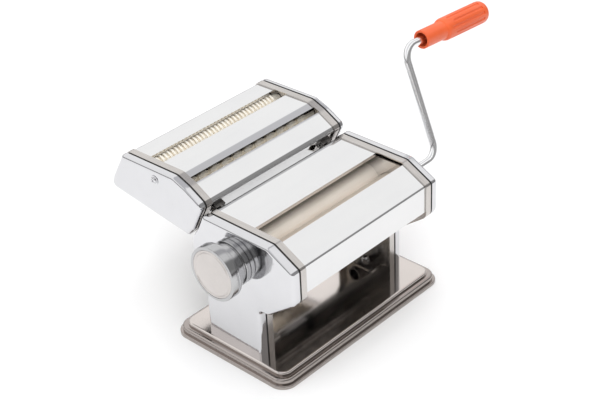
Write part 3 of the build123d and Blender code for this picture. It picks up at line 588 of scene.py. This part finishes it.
# ---------------------------------------------------------------- crank rod
def crank_rod():
    """The rod drawn out from its inner end and round its two bends."""
    radius = 3.5
    bend = 13.0
    start = Vector((76.6, *crank_axis))
    corner = Vector((elbow.x, *crank_axis))
    grip_way = Vector((math.cos(grip_droop), 0.0, -math.sin(grip_droop)))
    end = elbow + grip_way * (239.0 - elbow.x) / math.cos(grip_droop)
    bpy.ops.object.select_all(action="DESELECT")
    bpy.ops.mesh.primitive_circle_add(
        vertices=40, radius=radius * mm, fill_type="NGON", location=start * mm, rotation=(0, math.pi / 2, 0)
    )
    rod = bpy.context.object
    rod.name = "bent_crank_rod"
    bpy.ops.object.transform_apply(location=True, rotation=True, scale=True)
    bpy.ops.object.mode_set(mode="EDIT")
    bpy.ops.mesh.select_mode(type="FACE")
    bpy.ops.mesh.select_all(action="SELECT")
    here = start
    path = [start, corner, elbow, end]
    for index in (1, 2):
        arriving = (path[index] - path[index - 1]).normalized()
        leaving = (path[index + 1] - path[index]).normalized()
        turn = arriving.angle(leaving)
        cut = bend * math.tan(turn / 2)
        before = path[index] - arriving * cut
        slide(before - here)
        axis = arriving.cross(leaving).normalized()
        centre = before + axis.cross(arriving).normalized() * bend
        bpy.ops.mesh.spin(steps=22, angle=turn, center=centre * mm, axis=-axis)
        here = path[index] + leaving * cut
    slide(end - here)
    outward(rod)
    return rod


ready(crank_rod(), crank_finish, "crank", ["crank_rod"], 40.0)


# ---------------------------------------------------------------- seams and cap screws
# Painted shade: the seam strips wear the black foot rubber to darken the gaps between caps and collars.
for side, ending in ((-1, "left"), (1, "right")):
    strip = seam_shade_strip(ending + "_seam_shade_strip", side, head_outline, tray_top + 0.2)
    ready(strip, rubber_finish, "root", [])
    strip = seam_shade_strip("cutter_" + ending + "_seam_shade_strip", side, cutter_outline)
    ready(strip, rubber_finish, "cutter_head", [])


def cap_screw(side):
    """Cross-head screw and washer at one end of the cutter head."""
    tip = 87.9
    profile = [
        (84.4, 0.0), (84.4, 1.6), (86.0, 1.6), (86.0, 4.0), (86.15, 4.2), (86.5, 4.15), (86.6, 3.9),
        (86.6, 2.9), (87.2, 2.85), (87.6, 2.5), (87.85, 1.6), (tip, 0.0),
    ]
    screw = turned("cap_screw", [(side * x, radius) for x, radius in profile], screw_axis, 64)
    first_turn = 0.6
    for turn in (first_turn, first_turn + math.pi / 2):
        bpy.ops.object.mode_set(mode="OBJECT")
        bpy.ops.object.select_all(action="DESELECT")
        bpy.ops.mesh.primitive_cube_add(
            size=1.0, location=(side * tip * mm, screw_axis[0] * mm, screw_axis[1] * mm)
        )
        slot_bar = bpy.context.object
        slot_bar.dimensions = (1.4 * mm, 4.0 * mm, 0.8 * mm)
        slot_bar.rotation_euler = (turn, 0.0, 0.0)
        bpy.context.view_layer.update()
        cut_away(screw, slot_bar)
    return screw


cap_screws = joined([cap_screw(-1), cap_screw(1)])
ready(cap_screws, cap_finish, "cutter_head", ["cutter_cap_screws"], 35.0)


# ---------------------------------------------------------------- grip
def grip_profile(start):
    """Outline of the grip from its closed end, over the body and collar, and back through the bore."""
    retainer = start + 78.15
    end = start + 87.0
    edge = 4.5
    body = 10.2
    collar = 8.3
    mouth = 6.2
    mouth_depth = 24.0
    bore = 3.6
    pocket = 5.8
    outside = [(end, 0.0), (end, body - edge)]
    for step in range(1, 8):
        angle = math.radians(90 * step / 7)
        outside.append((end - edge + edge * math.cos(angle), body - edge + edge * math.sin(angle)))
    shoulder = [
        (start + 31.0, body), (start + 29.2, body - 0.3), (start + 28.0, body - 1.2), (start + 27.4, collar),
        (start + 0.5, collar), (start, collar - 0.5),
    ]
    inside = [
        (start, mouth + 0.3), (start + 0.3, mouth), (start + mouth_depth, mouth), (start + mouth_depth, bore),
        (retainer - 0.2, bore), (retainer - 0.2, pocket), (retainer + 4.2, pocket), (retainer + 4.2, 0.0),
    ]
    return [(elbow.x + x, radius) for x, radius in outside + shoulder + inside]


def flutes(start):
    """Bars that cut the flutes, long and short by turns."""
    count = 12
    reach = 11.1
    far = start + 79.0
    bars = []
    for index in range(count):
        angle = math.radians(360 / count * index + 8)
        near = start + (33.0 if index % 2 else 38.0)
        middle = Vector((
            elbow.x + (near + far) / 2, elbow.y + reach * math.cos(angle), elbow.z + reach * math.sin(angle)
        ))
        bars.append(bar_along_x(middle, 1.7, far - near, 24))
    return joined(bars)


def fluted_grip():
    """Moulded grip: a plain collar with a hollow mouth, then a fluted body with a rounded end."""
    start = 24.045
    grip = turned("fluted_grip", grip_profile(start), (elbow.y, elbow.z), 120)
    bpy.ops.object.mode_set(mode="OBJECT")
    cut_away(grip, flutes(start))
    bpy.ops.object.mode_set(mode="EDIT")
    bpy.ops.mesh.select_all(action="SELECT")
    bpy.ops.transform.rotate(
        value=-grip_droop,
        orient_axis="Y",
        orient_type="GLOBAL",
        center_override=[part * mm for part in elbow],
    )
    return grip


ready(fluted_grip(), grip_finish, "grip", ["crank_grip"], 30.0)


# ---------------------------------------------------------------- rear smooth roller
def smooth_roller(name, axis, end):
    """A roller with turned journals and a small chamfer at each end."""
    face = 77.4
    radius = 12.0
    journal = 5.0
    chamfer = 0.6
    journal_chamfer = 0.3
    half = [
        (end, 0.0), (end, journal - journal_chamfer), (end - journal_chamfer, journal), (face, journal),
        (face, radius - chamfer), (face - chamfer, radius),
    ]
    profile = [(-x, r) for x, r in half] + half[::-1]
    return turned(name, profile, axis, 96)


rear_roller = smooth_roller("rear_smooth_roller", knob_axis, 84.05)
ready(rear_roller, roller_finish, "adjustable_roller", ["adjustable_roller"], 30.0)


# ---------------------------------------------------------------- studio
machine_middle = (0.0, 0.0, 0.08)


def studio_floor():
    bpy.ops.object.select_all(action="DESELECT")
    bpy.ops.mesh.primitive_plane_add(size=8.0)
    floor = bpy.context.object
    floor.name = "studio_floor"
    finish = Finish("studio_floor_paper")
    finish.set(Base_Color=colour(0.93, 0.93, 0.93), Roughness=0.9, Specular_IOR_Level=0.1)
    floor.data.materials.append(finish.material)


def soft_light(name, place, size, power):
    """A softbox aimed at the middle of the machine, which lights matt surfaces only."""
    data = bpy.data.lights.new(name, "AREA")
    data.shape = "RECTANGLE"
    data.size, data.size_y = size
    data.energy = power
    light = bpy.data.objects.new(name, data)
    light.visible_glossy = False
    bpy.context.scene.collection.objects.link(light)
    light.location = place
    light.rotation_euler = (Vector(machine_middle) - Vector(place)).to_track_quat("-Z", "Y").to_euler()


def studio_world():
    """White tent with a grey joint overhead, a dark panel in front and a dark band at the horizon."""
    world = bpy.data.worlds.new("studio_tent")
    world.use_nodes = True
    bpy.context.scene.world = world
    tent = Finish("studio_tent", world.node_tree)
    direction = tent.node("ShaderNodeTexCoord", output="Generated")
    across = tent.node("ShaderNodeSeparateXYZ", {}, {0: direction}, output=1)
    height = tent.node("ShaderNodeSeparateXYZ", {}, {0: direction}, output=2)
    lean = tent.node("ShaderNodeMath", {"operation": "ARCTAN2"}, {0: across, 1: height})

    def band(middle, full, faded):
        off = tent.node("ShaderNodeMath", {"operation": "ABSOLUTE"}, {0: lean - middle})
        return tent.between(1.0, 0.0, off, full, faded)

    horizon = tent.between(1.0, 0.0, height, 0.10, 0.36)
    panels = tent.blend(colour(1.0, 1.0, 1.0), colour(0.60, 0.60, 0.62), band(0.15, 0.16, 0.26))
    room = tent.blend(panels, colour(0.30, 0.30, 0.30), band(-0.95, 0.30, 0.42))
    walls = tent.blend(room, colour(0.16, 0.155, 0.155), horizon)
    background = world.node_tree.nodes["Background"]
    tent.feed(background.inputs["Color"], walls)
    background.inputs["Strength"].default_value = 1.1


def studio_camera():
    data = bpy.data.cameras.new("studio_camera")
    data.sensor_width = 36.0
    data.lens = 85.63
    data.clip_start = 0.05
    data.clip_end = 30.0
    camera = bpy.data.objects.new("studio_camera", data)
    bpy.context.scene.collection.objects.link(camera)
    right = Vector((0.6749, -0.7367, -0.0420)).normalized()
    up = Vector((0.4190, 0.3357, 0.8437))
    back = right.cross(up).normalized()
    up = back.cross(right)
    turn = Matrix((right, up, back)).transposed().to_4x4()
    camera.matrix_world = Matrix.Translation(Vector((-708.52, -678.71, 728.05)) * mm) @ turn
    bpy.context.scene.camera = camera


studio_floor()
studio_world()
soft_light("overhead_softbox", (0.1, 0.1, 1.6), (1.6, 1.6), 10.0)
soft_light("front_softbox", (-0.85, -0.90, 1.30), (0.8, 0.8), 9.0)
soft_light("left_softbox", (-1.4, -0.3, 0.9), (0.9, 1.2), 1.2)
studio_camera()
scene = bpy.context.scene
scene.view_settings.view_transform = "Standard"
